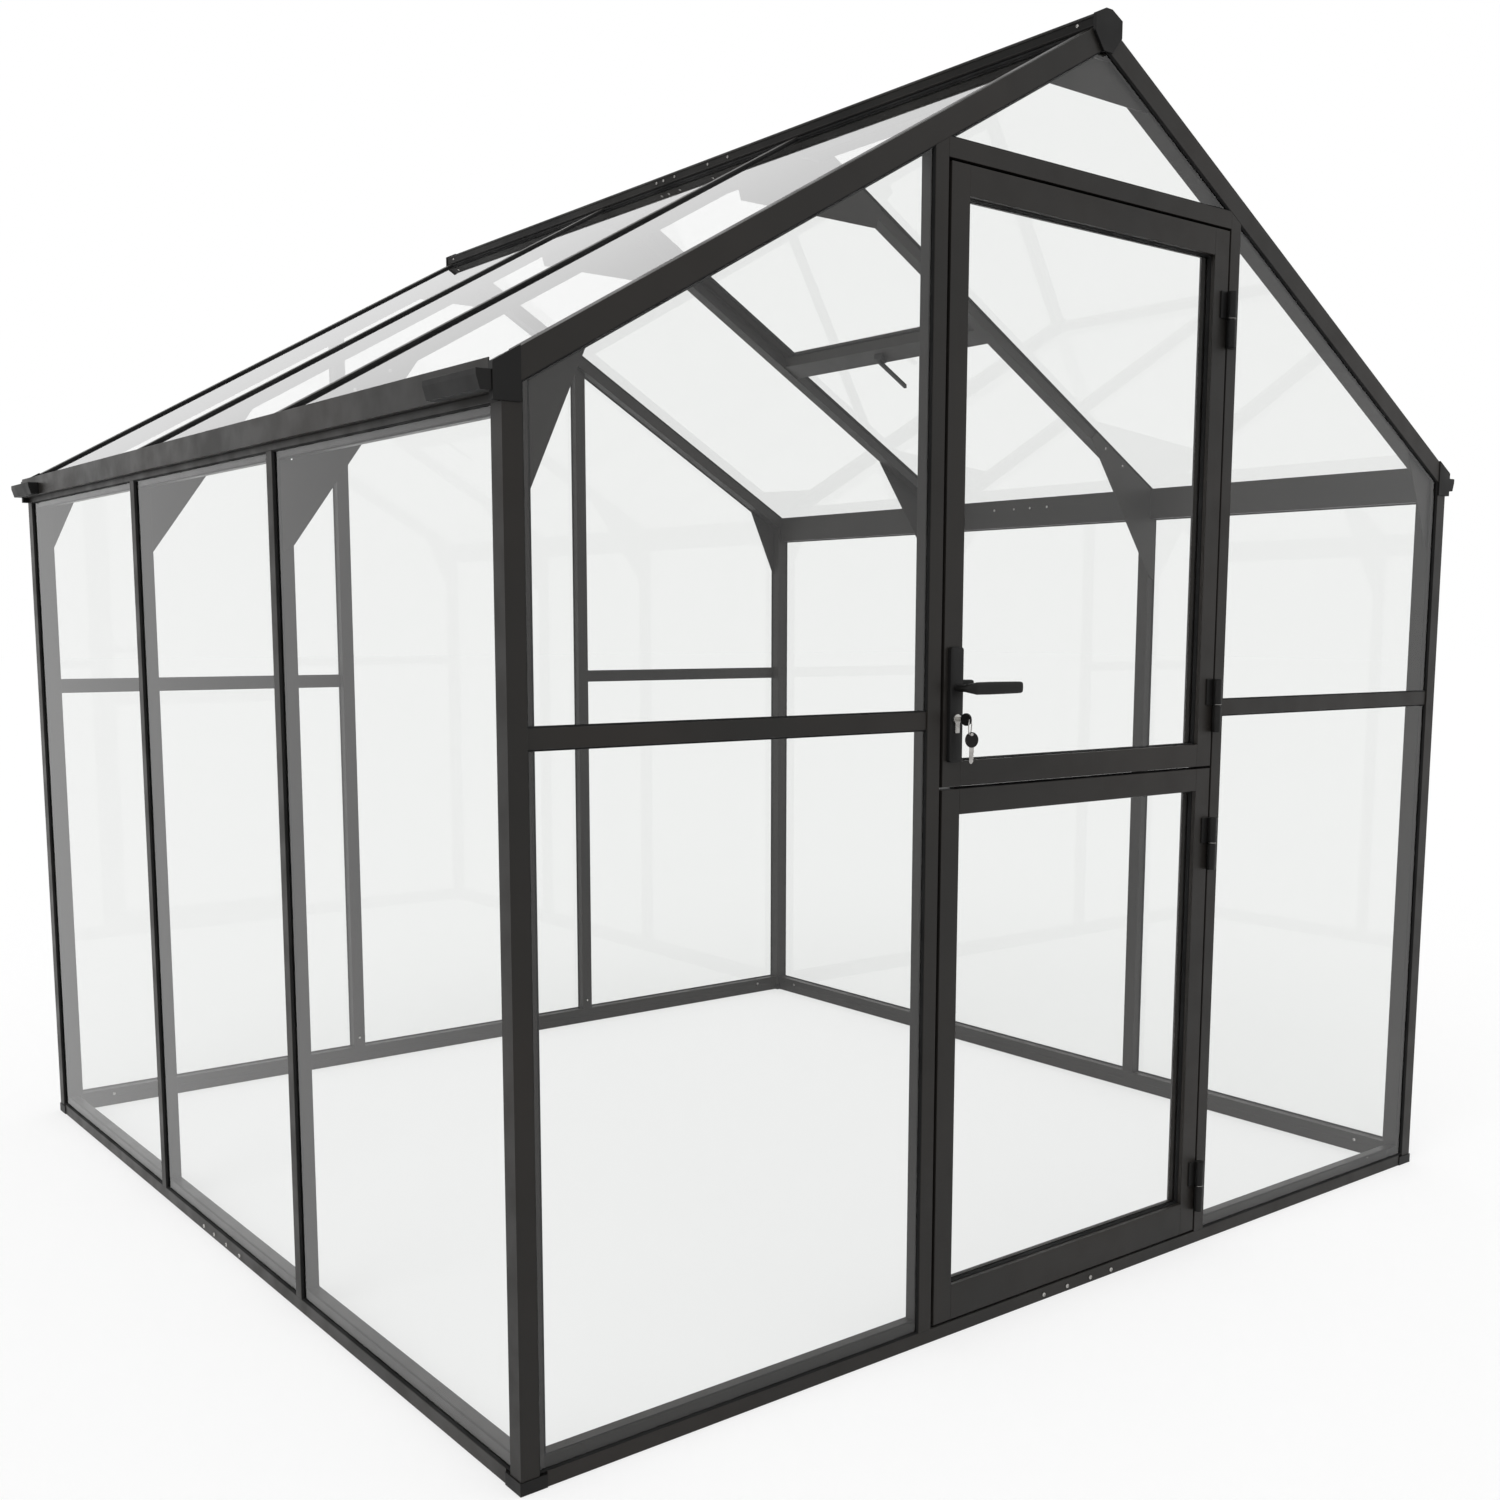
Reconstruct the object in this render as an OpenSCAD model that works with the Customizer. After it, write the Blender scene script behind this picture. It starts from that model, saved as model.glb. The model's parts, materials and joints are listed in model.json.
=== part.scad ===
// Free-standing glass greenhouse with a gable roof, a two-leaf stable door and one roof vent.
// X runs along the gables, Y along the ridge with the door in the -Y gable, Z up.
// The origin is the middle of the plan, on the ground.

/* [Overall] */
// Width over the frame, along the gables
frame_w = 2440; // [1800:10:3200]
// Length over the frame, along the ridge
frame_l = 2440; // [1800:10:3600]
// Height where the roof's outer face meets the side wall's outer face
eave_h = 1640; // [1300:5:2100]
// Roof slope in degrees
roof_pitch = 30; // [24:0.5:38]

/* [Bars and glass] */
// How far the outer strip of a bar stands out from the glass
strip_t = 5; // [4:0.5:12]
// Glass thickness
glass_t = 4; // [3:0.5:6]
// Depth of a wall or roof bar behind the glass
body_d = 25; // [16:1:40]
// Width of the outer strip on a middle bar
strip_w = 26; // [22:1:40]
// Width of the bar behind the glass
body_w = 34; // [30:1:50]
// Width of the web between the edges of two panes
web_w = 8; // [6:1:12]
// Width of a corner post's outer faces
corner_strip_w = 32; // [26:1:50]
// Side of the square body of a corner post
corner_body = 36; // [30:1:60]
// Gap between the edge of a pane and the web beside it
glass_gap = 2; // [1:0.5:4]
// Gap between a sloping pane and the bars that it lies between
seat_gap = 0.1; // [0.05:0.05:0.3]

/* [Base] */
// Height of the base's outer lip and of the threshold
lip_h = 25; // [20:1:50]
// Height of the base's inner upstand
upstand_h = 45; // [36:1:90]
// How far the lip covers the foot of a pane
lip_cover = 4; // [3:0.5:8]
// How far the plastic corner pieces stand out
cap_proud = 2; // [1:0.5:4]

/* [Walls] */
// Distance of the middle side posts from the middle of the length
side_post_y = 385; // [300:5:500]
// Distance of the back gable's posts from the middle of the width
gable_post_x = 393; // [330:1:520]
// Height of the middle line of the gable mid-rails
mid_rail_z = 1121; // [900:1:1300]
// Height of a gable mid-rail
mid_rail_h = 30; // [24:1:50]
// How far a mid-rail stands out from the glass
mid_rail_proud = 2; // [1:0.5:5]
// Depth of a mid-rail behind the glass
mid_rail_d = 8; // [6:1:16]

/* [Eaves] */
// Height of the eave beam's lip over the side panes
eave_lip_h = 12; // [8:1:20]
// Depth of the eave beam's face below the roof's outer face
eave_drop = 57; // [50:1:80]
// Depth of the eave beam's inner foot below its lip
eave_foot = 13; // [3:1:24]
// How far the gutter stands out from the side wall
gutter_out = 14; // [10:1:40]
// Height of the gutter's outer wall
gutter_h = 45; // [38:1:60]
// Wall thickness of the gutter
gutter_t = 2; // [1.5:0.5:4]
// Length of a gutter end block
end_block_l = 160; // [60:5:200]
// How far a gutter end block stands out from the gutter
end_block_out = 24; // [15:1:40]
// Height of a gutter end block
end_block_h = 28; // [20:1:35]
// Width of the plastic cap on an eave corner
eave_cap_w = 44; // [38:1:60]

/* [Roof] */
// Width of a gable rafter's face on the gable
rafter_strip_w = 40; // [30:1:60]
// Depth of a gable rafter behind the glass
rafter_body = 34; // [28:1:70]
// Half width of the ridge beam at its foot
ridge_beam_r = 24; // [20:1:40]
// Width of the ledge on each side of the ridge beam
ridge_ledge = 8; // [6:1:12]
// Height of the ridge beam
ridge_beam_h = 62; // [50:1:90]
// Half width of the ridge cap
ridge_cap_r = 34; // [30:1:60]
// Height of the ridge cap over the roof's outer face at its middle
ridge_cap_h = 16; // [10:1:30]
// Half width of the ridge cap's flat top
ridge_top_r = 8; // [4:1:16]
// Thickness of a ridge end cap
end_cap_t = 6; // [4:1:12]
// Drop from the roof's apex to the foot of a ridge end cap
end_cap_drop = 55; // [44:1:80]
// Half width of a ridge end cap's foot
end_cap_foot_r = 12; // [6:1:24]

/* [Roof vent] */
// Distance of the vent's foot from the middle, across the slope
vent_reach = 590; // [450:5:800]
// Width of the vent's bars
vent_bar_w = 30; // [24:1:45]
// How far the vent stands out from the roof's outer face
vent_proud = 8; // [2:1:12]
// Width of the cross bar under the vent's foot
vent_sill_w = 46; // [36:1:60]
// Gap between the vent and the bars beside it
vent_gap = 3; // [2:0.5:6]
// Length of the vent's handle
vent_handle_l = 90; // [60:5:140]

/* [Corner plates] */
// Thickness of the corner plates
plate_t = 3; // [2:0.5:5]
// Height of an inner frame's eave plate, down from the roof line at the wall
inner_plate_drop = 200; // [120:5:300]
// Reach of an inner frame's eave plate along the slope, across
inner_plate_reach = 246; // [120:2:350]
// Half width of an inner frame's ridge plate
inner_apex_r = 190; // [100:5:260]
// Height of an inner frame's ridge plate's lower edge below the roof line at its ends
inner_apex_drop = 58; // [50:1:100]
// Height of a gable's eave plate
gable_plate_drop = 160; // [60:1:200]
// Reach of a gable's eave plate across
gable_plate_reach = 100; // [50:2:150]
// Half width of a gable's ridge plate
gable_apex_r = 136; // [60:2:140]

/* [Door] */
// Width of the doorway between the jambs
doorway_w = 764; // [640:2:900]
// Height of the doorway's head over the ground
doorway_h = 2047; // [1800:1:2200]
// Height of the middle of the gap between the leaves
split_z = 1002.5; // [850:0.5:1200]
// Thickness of a leaf
leaf_t = 36; // [30:1:45]
// Width of a leaf's stiles
stile_w = 43; // [38:1:70]
// Height of the upper leaf's top rail
top_rail_h = 50; // [40:1:80]
// Height of the rails where the leaves meet
meet_rail_h = 44; // [36:1:70]
// Height of the lower leaf's bottom rail
bottom_rail_h = 65; // [45:1:120]
// Gap round the leaves
door_gap = 5; // [5:0.5:8]
// Gap at the lock side, which the swing needs
lock_gap = 7; // [7:0.5:10]
// Width of a jamb's outer face
jamb_strip_w = 30; // [22:1:40]
// Width of a jamb behind the glass
jamb_body_w = 30; // [27:1:70]
// Width of the part of a jamb that carries the door stop
stop_carrier_w = 9; // [6:1:20]
// Depth of a jamb from its outer face
jamb_d = 50; // [48:1:60]
// Overlap of the door stop past the jamb
stop_w = 8; // [7.5:0.5:12]
// Thickness of the door stop
stop_t = 8; // [5:1:10]
// Height of the door head's outer face
header_h = 32; // [24:1:45]
// Depth of the glass groove in a bar
groove_d = 8; // [6:1:12]

/* [Hinges] */
// Radius of a hinge barrel
barrel_r = 9; // [7:0.5:12]
// Length of a hinge, both halves
hinge_l = 106; // [80:2:140]
// Radius of a hinge pin
pin_r = 4; // [3:0.5:5]
// Clearance between a pin and the half that turns on it
pin_clear = 0.4; // [0.3:0.1:0.6]
// Distance of a hinge's middle from the near end of its leaf, at the foot
low_hinge_up = 97; // [70:1:160]
// Distance of a hinge's middle from the leaf's meeting edge
meet_hinge_off = 121; // [80:1:200]
// Distance of the top hinge's middle from the top of the leaf
top_hinge_down = 167; // [80:1:300]
// Thickness of a hinge flap
flap_t = 3; // [2:0.5:5]
// Width of a hinge flap
flap_w = 22; // [16:1:30]

/* [Lock] */
// Height of the lever's spindle
lever_z = 1176; // [1080:1:1400]
// Drop from the spindle to the lock cylinder
cylinder_drop = 53; // [50:1:92]
// Width of a lock plate
lock_plate_w = 31; // [26:1:40]
// Height of a lock plate
lock_plate_h = 198; // [160:2:240]
// Thickness of a lock plate
lock_plate_t = 8; // [5:1:12]
// Distance of a lock plate from the edge of the leaf
lock_plate_in = 9; // [7:0.5:12]
// Rise of a lock plate over the spindle
lock_plate_up = 70; // [40:1:100]
// Reach of the lever from the spindle
lever_l = 125; // [90:1:150]
// Height of the lever
lever_h = 22; // [14:1:26]
// Thickness of the lever
lever_t = 10; // [8:1:16]
// Distance from a lock plate to the lever's near face
lever_out = 29; // [25:1:50]
// Radius of the lever's neck
neck_r = 8; // [6:0.5:12]
// Radius of the round part of the lock cylinder
cylinder_r = 8.5; // [8:0.5:9]
// Width of the lock cylinder's lower part
cylinder_w = 10; // [9:0.5:11]
// Height of the lock cylinder
cylinder_h = 33; // [30:1:35]
// How far the lock cylinder stands out of a lock plate
cylinder_out = 3; // [1:0.5:6]

/* [Hidden] */
$fn = 48;

frame_col = "#3b3a38";
plastic_col = "#242424";
glass_col = [0.86, 0.94, 0.95, 0.3];
steel_col = "#c8c8c8";

hw = frame_w / 2;
hl = frame_l / 2;
apex_z = eave_h + hw * tan(roof_pitch);
// Depths from a wall's outer face, and the same layers down from the roof's outer face
glass_out = strip_t;
glass_in = strip_t + glass_t;
body_in = glass_in + body_d;
corner_in = glass_in + corner_body;
rafter_in = glass_in + rafter_body;
pane_edge = glass_in + glass_gap;
groove_z = lip_h - lip_cover;
pane_foot = groove_z + 1;
// Eave beam: where its lip begins, the groove for the side panes and its inner foot
eave_lip_z = eave_h - eave_drop;
eave_groove_z = eave_lip_z + 7;
eave_foot_z = eave_lip_z - eave_foot;
gutter_z = eave_lip_z + eave_lip_h;
// Depth of the beds of the eave and ridge beams
bed_p = glass_in + seat_gap;
pane_p = [glass_out + seat_gap, glass_in - seat_gap];
gutter_seat = 6;
cap_x = hw - eave_cap_w + gutter_out;
cap_end_x = hw + gutter_out;
roof_end_x = hw - 4;
// Doorway and leaves
dw = doorway_w / 2;
leaf_hinge_x = dw - door_gap;
leaf_lock_x = -dw + lock_gap;
stop_d = jamb_d - stop_t;
upper_leaf_z = [split_z + door_gap / 2, doorway_h - door_gap];
lower_leaf_z = [lip_h + door_gap, split_z - door_gap / 2];
// Hinge axis, in the middle of the gap and in front of the faces
hinge_x = dw - door_gap / 2;
hinge_y = -hl - barrel_r - 0.5;
hinge_zs = [lower_leaf_z[0] + low_hinge_up, lower_leaf_z[1] - meet_hinge_off - 32,
            upper_leaf_z[0] + meet_hinge_off, upper_leaf_z[1] - top_hinge_down];
lock_x = leaf_lock_x + lock_plate_in + lock_plate_w / 2;
vent_half = side_post_y - strip_w / 2 - vent_gap;
vent_sill_p = body_in - 4;
far = 4 * (hw + hl);

// Height of the roof at a distance x across from the middle and a depth p under its outer face
function roof_z(x, p) = apex_z - abs(x) * tan(roof_pitch) - p / cos(roof_pitch);

// ---- frames of reference ----

// Children are drawn in plan with X along a wall and Y the depth into the building
module on_front() { translate([0, -hl, 0]) children(); }
module on_back() { mirror([0, 1, 0]) on_front() children(); }
module on_left() { translate([-hw, 0, 0]) mirror([1, 0, 0]) rotate([0, 0, 90]) children(); }
module on_right() { mirror([1, 0, 0]) on_left() children(); }
module both_sides() { children(); mirror([1, 0, 0]) children(); }
module both_ends() { children(); mirror([0, 1, 0]) children(); }

// Extrudes an elevation (across, height) from depth d0 to depth d1
module elevation(d0, d1) {
  translate([0, d1, 0]) rotate([90, 0, 0]) linear_extrude(d1 - d0) children();
}

// A block in wall coordinates: along, depth and height ranges
module block(t, d, z) {
  translate([t[0], d[0], z[0]]) cube([t[1] - t[0], d[1] - d[0], z[1] - z[0]]);
}

// A slab that follows the right slope: across, depth under the roof's face, and length ranges
module slope_slab(x, p, y) {
  translate([0, y[1], 0]) rotate([90, 0, 0]) linear_extrude(y[1] - y[0])
    polygon([[x[0], roof_z(x[0], p[0])], [x[1], roof_z(x[1], p[0])],
             [x[1], roof_z(x[1], p[1])], [x[0], roof_z(x[0], p[1])]]);
}

// The area of a gable elevation under the roof, p below its outer face
module under_roof(p) {
  polygon([[-far, roof_z(far, p)], [0, roof_z(0, p)], [far, roof_z(far, p)],
           [far, roof_z(far, p) - far], [-far, roof_z(far, p) - far]]);
}

module area(t, z) { translate([t[0], z[0]]) square([t[1] - t[0], z[1] - z[0]]); }

// ---- base ----

module base_section() {
  polygon([[0, 0], [body_in, 0], [body_in, upstand_h], [glass_in, upstand_h],
           [glass_in, groove_z], [glass_out, groove_z], [glass_out, lip_h], [0, lip_h]]);
}

module base_bar(half) {
  rotate([90, 0, 90]) translate([0, 0, -half]) linear_extrude(2 * half) base_section();
}

module base_front() {
  color(frame_col) on_front() difference() {
    base_bar(hw - corner_in);
    block([-dw, dw], [-1, body_in + 1], [lip_h, upstand_h + 1]);
  }
}
module base_back() { color(frame_col) on_back() base_bar(hw - corner_in); }
module base_left() { color(frame_col) on_left() base_bar(hl - corner_in); }
module base_right() { color(frame_col) on_right() base_bar(hl - corner_in); }

module base_corner_caps() {
  color(plastic_col) both_sides() both_ends()
    translate([-hw - cap_proud, -hl - cap_proud, 0])
      cube([corner_in + cap_proud, corner_in + cap_proud, groove_z]);
}

// ---- walls ----

module corner_posts() {
  web = pane_edge - 1;
  color(frame_col) both_sides() both_ends() translate([-hw, -hl, 0]) {
    linear_extrude_from(groove_z, eave_lip_z) polygon([
      [0, 0], [corner_strip_w, 0], [corner_strip_w, strip_t], [web, strip_t], [web, glass_in],
      [glass_in, glass_in], [glass_in, web], [strip_t, web], [strip_t, corner_strip_w],
      [0, corner_strip_w]]);
    linear_extrude_from(groove_z, eave_foot_z)
      translate([glass_in, glass_in]) square(corner_body);
  }
  // The post's body runs on beside the eave beam, up to the rafter
  color(frame_col) both_sides() both_ends() on_front() elevation(glass_in, corner_in) intersection() {
    area([hw - corner_in, hw - body_in], [eave_foot_z, apex_z]);
    under_roof(rafter_in + seat_gap);
  }
}

module linear_extrude_from(z0, z1) { translate([0, 0, z0]) linear_extrude(z1 - z0) children(); }

// A middle post: strip and web from the lip up, body from the upstand up
module middle_post(strip_top, body_top) {
  block([-strip_w / 2, strip_w / 2], [0, strip_t], [lip_h, strip_top]);
  block([-web_w / 2, web_w / 2], [strip_t, glass_in], [lip_h, strip_top]);
  block([-body_w / 2, body_w / 2], [glass_in, body_in], [upstand_h, body_top]);
}

module side_posts() {
  color(frame_col) both_sides() both_ends() on_left()
    translate([-side_post_y, 0, 0]) union() middle_post(eave_lip_z, eave_foot_z);
}

module back_gable_posts() {
  color(frame_col) both_sides() on_back() {
    elevation(0, glass_in) intersection() {
      area([gable_post_x - web_w / 2, gable_post_x + web_w / 2], [lip_h, apex_z]);
      under_roof(rafter_strip_w + seat_gap);
    }
    elevation(0, strip_t) intersection() {
      area([gable_post_x - strip_w / 2, gable_post_x + strip_w / 2], [lip_h, apex_z]);
      under_roof(rafter_strip_w + seat_gap);
    }
    elevation(glass_in, body_in) intersection() {
      area([gable_post_x - body_w / 2, gable_post_x + body_w / 2], [upstand_h, apex_z]);
      under_roof(rafter_in + seat_gap);
    }
  }
}

module door_jambs() {
  web = jamb_strip_w - lip_cover - glass_gap - 1;
  color(frame_col) both_sides() on_front() {
    elevation(0, strip_t) intersection() {
      area([dw, dw + jamb_strip_w], [lip_h, apex_z]);
      under_roof(rafter_strip_w + seat_gap);
    }
    elevation(strip_t, glass_in) intersection() {
      area([dw, dw + web], [lip_h, apex_z]);
      under_roof(rafter_strip_w + seat_gap);
    }
    elevation(glass_in, body_in) intersection() {
      area([dw, dw + jamb_body_w], [upstand_h, apex_z]);
      under_roof(rafter_in + seat_gap);
    }
    elevation(body_in, jamb_d) intersection() {
      area([dw, dw + stop_carrier_w], [upstand_h, apex_z]);
      under_roof(rafter_in + seat_gap);
    }
    block([dw - stop_w, dw + 1], [stop_d, jamb_d], [upstand_h, doorway_h - stop_w]);
  }
}

module door_header() {
  color(frame_col) on_front() {
    elevation(0, glass_in) intersection() {
      area([-dw, dw], [doorway_h, doorway_h + header_h - lip_cover]);
      under_roof(rafter_strip_w + seat_gap);
    }
    elevation(0, strip_t) intersection() {
      area([-dw, dw], [doorway_h, doorway_h + header_h]);
      under_roof(rafter_strip_w + seat_gap);
    }
    elevation(glass_in, body_in) intersection() {
      area([-dw, dw], [doorway_h, doorway_h + header_h]);
      under_roof(rafter_in + seat_gap);
    }
    elevation(body_in, jamb_d) intersection() {
      area([-dw, dw], [doorway_h, doorway_h + stop_carrier_w]);
      under_roof(rafter_in + seat_gap);
    }
    block([-dw, dw], [stop_d, jamb_d], [doorway_h - stop_w, doorway_h + 1]);
  }
}

// A mid-rail: lip over both panes, web between them, and a body between the posts' bodies
module mid_rail(lip_t, body_t) {
  z = mid_rail_z;
  h = mid_rail_h / 2;
  block(lip_t, [glass_out - mid_rail_proud, glass_out], [z - h, z + h]);
  block(lip_t, [glass_out, glass_in], [z - web_w / 2, z + web_w / 2]);
  block(body_t, [glass_in, glass_in + mid_rail_d], [z - h, z + h]);
}

module mid_rails() {
  outer = hw - pane_edge;
  wall = hw - corner_in;
  color(frame_col) both_sides() {
    on_front() mid_rail([dw + jamb_strip_w, hw - corner_strip_w], [dw + jamb_body_w, wall]);
    on_back() mid_rail([gable_post_x + strip_w / 2, hw - corner_strip_w],
                       [gable_post_x + body_w / 2, wall]);
  }
}

// ---- eaves ----

module along_left_eave(half) {
  on_left() rotate([90, 0, 90]) translate([0, 0, -half]) linear_extrude(2 * half) children();
}

module eave_beams() {
  color(frame_col) both_sides() along_left_eave(hl - glass_in) polygon([
    [0, eave_lip_z], [glass_out, eave_lip_z], [glass_out, eave_groove_z],
    [glass_in, eave_groove_z], [glass_in, eave_foot_z], [body_in, eave_foot_z],
    [body_in, roof_z(hw - body_in, bed_p)], [gutter_seat, roof_z(hw - gutter_seat, bed_p)],
    [gutter_seat, gutter_z], [0, gutter_z]]);
}

module gutters() {
  color(frame_col) both_sides() along_left_eave(hl - glass_in) polygon([
    [-gutter_out, gutter_z], [gutter_seat, gutter_z], [gutter_seat, gutter_z + gutter_t],
    [gutter_t - gutter_out, gutter_z + gutter_t], [gutter_t - gutter_out, gutter_z + gutter_h],
    [-gutter_out, gutter_z + gutter_h]]);
}

// Outline of an eave corner cap in elevation, from x0 out to its end
module eave_cap_outline(x0) {
  polygon([[x0, eave_lip_z], [cap_end_x, eave_lip_z], [cap_end_x, roof_z(cap_end_x, -cap_proud)],
           [x0, roof_z(x0, -cap_proud)]]);
}

module eave_corner_caps() {
  color(plastic_col) both_sides() both_ends() {
    on_front() elevation(-cap_proud, strip_t) eave_cap_outline(cap_x);
    on_front() elevation(strip_t - 1, glass_in) eave_cap_outline(hw - glass_out);
  }
}

module gutter_end_blocks() {
  slant = end_block_out / 4;
  color(plastic_col) both_sides() both_ends() translate([0, end_block_l - hl, 0])
    rotate([90, 0, 0]) linear_extrude(end_block_l) polygon([
      [hw + gutter_out, gutter_z], [hw + gutter_out + end_block_out - slant, gutter_z],
      [hw + gutter_out + end_block_out, gutter_z + 0.7 * end_block_h],
      [hw + gutter_out + end_block_out, gutter_z + end_block_h],
      [hw + gutter_out, gutter_z + end_block_h]]);
}

// ---- roof frame ----

// The right rafter of the front gable
module gable_rafter() {
  web = pane_edge - 1;
  slope_slab([0, cap_x], [0, rafter_strip_w], [-hl, -hl + strip_t]);
  slope_slab([ridge_beam_r - ridge_ledge, cap_x], [0, strip_t], [-hl, -hl + corner_strip_w]);
  slope_slab([ridge_beam_r, hw - body_in], [strip_t, glass_in], [-hl, -hl + web]);
  slope_slab([ridge_beam_r, hw - body_in], [glass_in, rafter_in], [-hl + glass_in, -hl + corner_in]);
}

module gable_rafters_right() { color(frame_col) both_ends() gable_rafter(); }
module gable_rafters_left() { color(frame_col) mirror([1, 0, 0]) both_ends() gable_rafter(); }

module inner_rafters() {
  y = -side_post_y;
  color(frame_col) both_sides() both_ends() {
    slope_slab([ridge_beam_r - ridge_ledge, roof_end_x + 8], [0, strip_t],
               [y - strip_w / 2, y + strip_w / 2]);
    slope_slab([ridge_beam_r - ridge_ledge + glass_gap, roof_end_x], [strip_t, glass_in],
               [y - web_w / 2, y + web_w / 2]);
    slope_slab([ridge_beam_r, hw - body_in], [glass_in, body_in],
               [y - body_w / 2, y + body_w / 2]);
  }
}

module ridge_beam() {
  foot = apex_z - ridge_beam_h;
  neck = ridge_beam_r - ridge_ledge;
  color(frame_col) translate([0, hl - glass_in, 0]) rotate([90, 0, 0])
    linear_extrude(2 * (hl - glass_in)) polygon([
      [-ridge_beam_r, foot], [ridge_beam_r, foot], [ridge_beam_r, roof_z(ridge_beam_r, bed_p)],
      [neck, roof_z(neck, bed_p)], [neck, roof_z(neck, 0)], [0, apex_z],
      [-neck, roof_z(neck, 0)], [-neck, roof_z(neck, bed_p)],
      [-ridge_beam_r, roof_z(ridge_beam_r, bed_p)]]);
}

// Outline of the ridge cap, grown by g on its outer faces
module ridge_outline(g) {
  side_z = roof_z(ridge_cap_r, 0) + ridge_cap_h + 6;
  bed_z = roof_z(ridge_cap_r + g, -seat_gap);
  polygon([[0, roof_z(0, -seat_gap)], [ridge_cap_r + g, bed_z], [ridge_cap_r + g, side_z + g],
           [ridge_top_r, apex_z + ridge_cap_h + g], [-ridge_top_r, apex_z + ridge_cap_h + g],
           [-ridge_cap_r - g, side_z + g], [-ridge_cap_r - g, bed_z]]);
}

module ridge_cap() {
  color(frame_col) translate([0, hl, 0]) rotate([90, 0, 0]) linear_extrude(2 * hl) ridge_outline(0);
}

module ridge_end_caps() {
  foot = apex_z - end_cap_drop;
  r = ridge_cap_r + cap_proud;
  color(plastic_col) both_ends() on_front() elevation(-end_cap_t, 0) {
    ridge_outline(cap_proud);
    polygon([[0, apex_z + 1], [r, roof_z(r, -1)], [r, roof_z(r, 4)], [end_cap_foot_r, foot],
             [-end_cap_foot_r, foot], [-r, roof_z(r, 4)], [-r, roof_z(r, -1)]]);
  }
}

// ---- corner plates ----

// Gable plates stand just behind the glass, in the corners of the bodies
module gable_plates() {
  wall = hw - corner_in;
  reach = wall - gable_plate_reach;
  p = rafter_in + seat_gap;
  top = roof_z(wall, p);
  apex = roof_z(ridge_beam_r, p);
  side = roof_z(gable_apex_r, p);
  color(frame_col) both_ends() on_front() elevation(glass_in + 4, glass_in + 4 + plate_t) {
    both_sides() polygon([[wall, top - gable_plate_drop], [wall, top], [reach, roof_z(reach, p)]]);
    polygon([[ridge_beam_r, apex], [gable_apex_r, side], [-gable_apex_r, side], [-ridge_beam_r, apex]]);
  }
}

// Inner plates lap the near faces of the posts and rafters
module inner_plates() {
  wall = hw - body_in;
  near = wall - 2;
  d = glass_in + 3;
  reach = hw - body_in - inner_plate_reach;
  low = roof_z(wall, body_in) - inner_plate_drop;
  color(frame_col) both_ends() translate([0, -side_post_y - body_w / 2, 0]) elevation(-plate_t, 0) {
    both_sides() polygon([
      [hw - d, low - 14], [hw - d, eave_foot_z - 2], [near, eave_foot_z - 2], [near, roof_z(near, d)],
      [reach + 18, roof_z(reach + 18, d)], [reach, roof_z(reach, body_in)], [wall, low]]);
    polygon([
      [-inner_apex_r, roof_z(inner_apex_r, inner_apex_drop)], [inner_apex_r, roof_z(inner_apex_r, inner_apex_drop)],
      [inner_apex_r + 14, roof_z(inner_apex_r + 14, d)], [ridge_beam_r + 2, roof_z(ridge_beam_r + 2, d)],
      [ridge_beam_r + 2, apex_z - ridge_beam_h - 2], [-ridge_beam_r - 2, apex_z - ridge_beam_h - 2],
      [-ridge_beam_r - 2, roof_z(ridge_beam_r + 2, d)], [-inner_apex_r - 14, roof_z(inner_apex_r + 14, d)]]);
  }
}

// ---- glass ----

module side_panes() {
  web = web_w / 2 + glass_gap;
  z = [pane_foot, eave_groove_z - 1];
  color(glass_col) both_sides() on_left() {
    block([-side_post_y + web, side_post_y - web], [glass_out, glass_in], z);
    block([side_post_y + web, hl - pane_edge], [glass_out, glass_in], z);
    block([pane_edge - hl, -side_post_y - web], [glass_out, glass_in], z);
  }
}

// The two panes of an outer gable bay that begins at x0
module outer_bay_panes(x0) {
  x1 = hw - pane_edge;
  edge = web_w / 2 + 1;
  elevation(glass_out, glass_in) intersection() {
    union() {
      area([x0, x1], [pane_foot, mid_rail_z - edge]);
      area([x0, x1], [mid_rail_z + edge, apex_z]);
    }
    under_roof(pane_edge);
  }
}

module front_panes() {
  web = jamb_strip_w - lip_cover - 1;
  color(glass_col) on_front() {
    both_sides() outer_bay_panes(dw + web);
    elevation(glass_out, glass_in) intersection() {
      area([glass_gap - dw, dw - glass_gap], [doorway_h + header_h - lip_cover + 1, apex_z]);
      under_roof(pane_edge);
    }
  }
}

module back_panes() {
  web = web_w / 2 + glass_gap;
  color(glass_col) on_back() {
    both_sides() outer_bay_panes(gable_post_x + web);
    elevation(glass_out, glass_in) intersection() {
      area([web - gable_post_x, gable_post_x - web], [pane_foot, apex_z]);
      under_roof(pane_edge);
    }
  }
}

// Length ranges of the three roof bays
function bays() = let (web = web_w / 2 + glass_gap)
  [[pane_edge - hl, -side_post_y - web], [web - side_post_y, side_post_y - web],
   [side_post_y + web, hl - pane_edge]];
roof_top_x = ridge_beam_r - ridge_ledge + glass_gap;

module left_roof_panes() {
  color(glass_col) mirror([1, 0, 0]) for (y = bays())
    slope_slab([roof_top_x, roof_end_x], pane_p, y);
}

module right_roof_panes() {
  color(glass_col) {
    slope_slab([roof_top_x, roof_end_x], pane_p, bays()[0]);
    slope_slab([vent_reach - vent_bar_w / 2 + 2, roof_end_x], pane_p, bays()[1]);
    slope_slab([roof_top_x, roof_end_x], pane_p, bays()[2]);
  }
}

// ---- roof vent ----

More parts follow.
